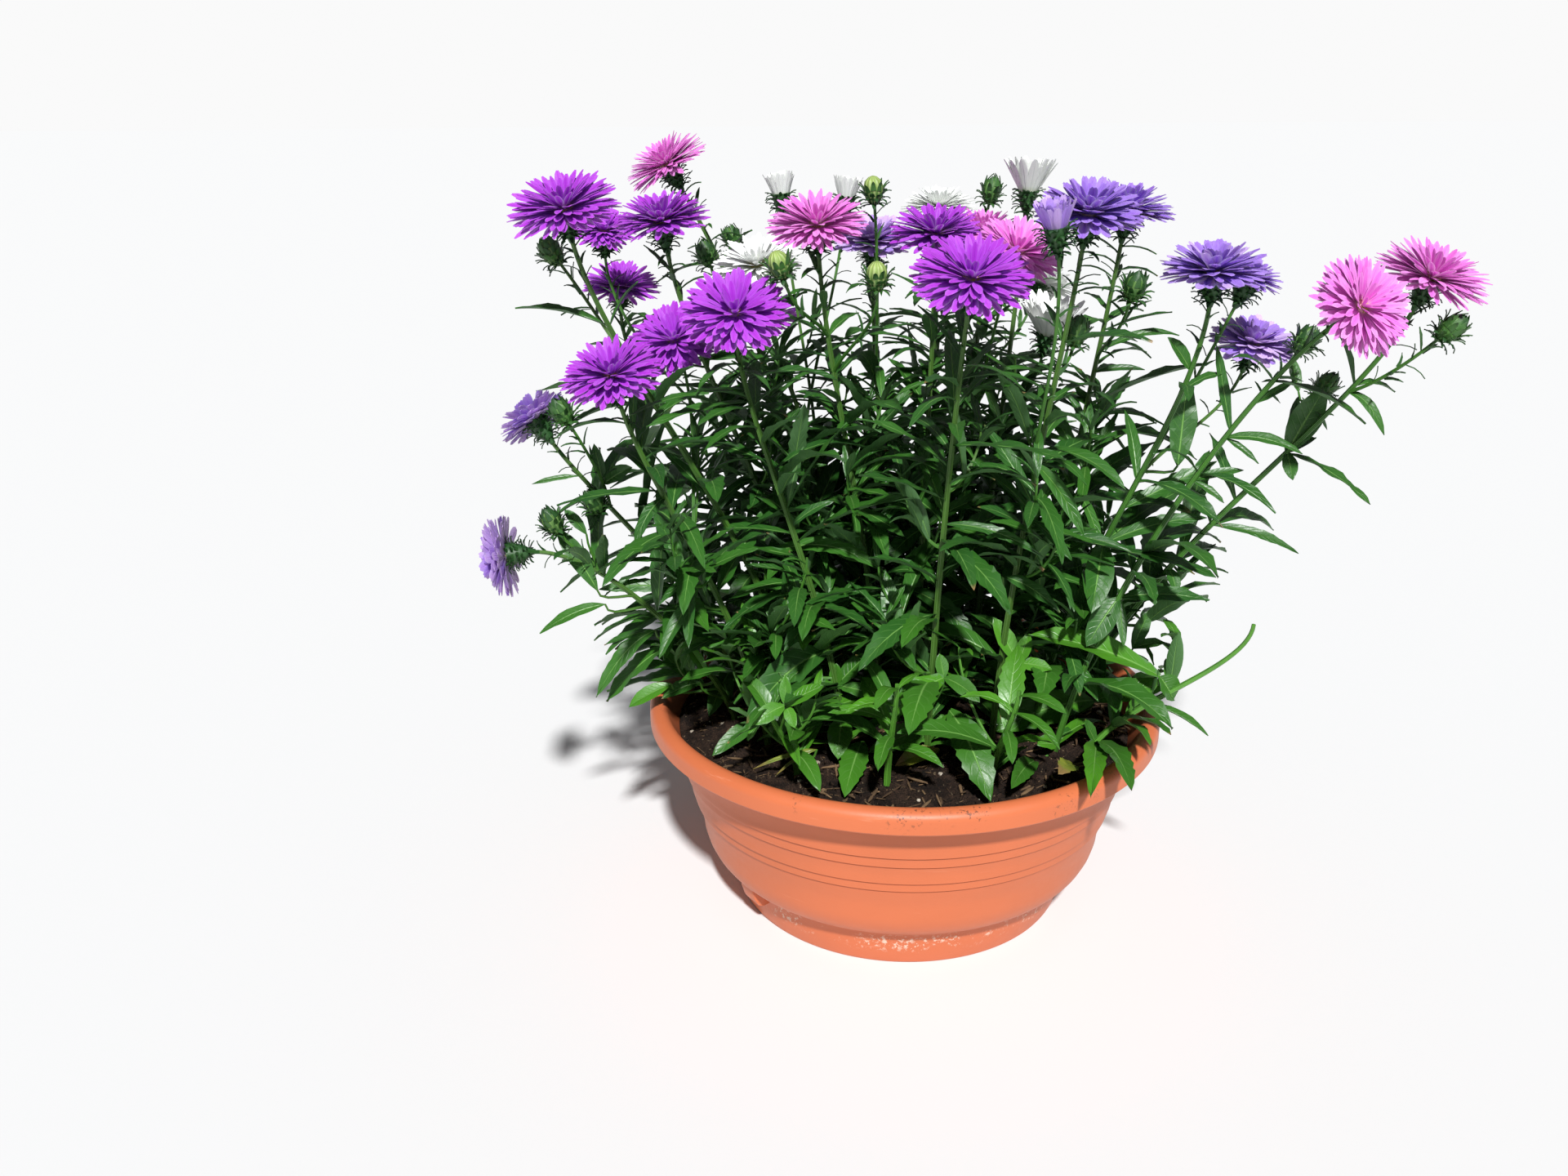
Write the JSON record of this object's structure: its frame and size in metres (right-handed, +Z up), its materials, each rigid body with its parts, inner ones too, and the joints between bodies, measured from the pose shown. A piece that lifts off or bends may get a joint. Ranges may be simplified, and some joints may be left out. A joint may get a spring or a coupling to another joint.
{
  "type": "potted new york aster",
  "caption": "Round plastic bowl planter filled with soil and bushy New York asters with double purple, pink, lavender and white blooms.",
  "frame": {"origin": "centre of the pot's flat underside", "axes": "+Z up; -Y towards the front of the planter, from which the picture looks; +X to the right seen from the front"},
  "size_m": [0.4687, 0.2911, 0.411],
  "materials": {
    "pot_plastic": "satin terracotta-coloured moulded plastic",
    "soil": "dark moist crumbly potting soil",
    "foliage": "smooth mid-green leaves and ribbed stems",
    "young_foliage": "smooth lime-green young leaves",
    "petal_purple": "soft matt magenta-purple petals",
    "petal_pink": "soft matt pink petals",
    "petal_lavender": "soft matt blue-violet petals",
    "petal_white": "soft matt white petals"
  },
  "bodies": {
    "root": {"bloom_lavender_1": "petal_lavender", "bloom_lavender_2": "petal_lavender", "bloom_lavender_3": "petal_lavender", "bloom_lavender_4": "petal_lavender", "bloom_lavender_5": "petal_lavender", "bloom_lavender_6": "petal_lavender", "bloom_lavender_7": "petal_lavender", "bloom_lavender_8": "petal_lavender", "bloom_pink_1": "petal_pink", "bloom_pink_2": "petal_pink", "bloom_pink_3": "petal_pink", "bloom_pink_4": "petal_pink", "bloom_pink_5": "petal_pink", "bloom_pink_6": "petal_pink", "bloom_purple_1": "petal_purple", "bloom_purple_10": "petal_purple", "bloom_purple_2": "petal_purple", "bloom_purple_3": "petal_purple", "bloom_purple_4": "petal_purple", "bloom_purple_5": "petal_purple", "bloom_purple_6": "petal_purple", "bloom_purple_7": "petal_purple", "bloom_purple_8": "petal_purple", "bloom_purple_9": "petal_purple", "bloom_white_1": "petal_white", "bloom_white_2": "petal_white", "bloom_white_3": "petal_white", "leafy_stem_01": "foliage", "leafy_stem_02": "foliage", "leafy_stem_03": "foliage", "leafy_stem_04": "foliage", "leafy_stem_05": "foliage", "leafy_stem_06": "foliage", "leafy_stem_07": "foliage", "leafy_stem_08": "foliage", "leafy_stem_09": "foliage", "leafy_stem_10": "foliage", "leafy_stem_11": "foliage", "leafy_stem_12": "foliage", "leafy_stem_13": "foliage", "leafy_stem_14": "foliage", "leafy_stem_15": "foliage", "leafy_stem_16": "foliage", "leafy_stem_17": "foliage", "leafy_stem_18": "foliage", "leafy_stem_19": "foliage", "leafy_stem_20": "foliage", "leafy_stem_21": "foliage", "opening_lavender_1": "petal_lavender", "opening_white_1": "petal_white", "opening_white_2": "petal_white", "opening_white_3": "petal_white", "opening_white_4": "petal_white", "pot": "pot_plastic", "shoot_1": "young_foliage", "shoot_2": "young_foliage", "shoot_3": "young_foliage", "shoot_4": "young_foliage", "shoot_5": "young_foliage", "soil": "soil"}
  },
  "joints": []
}
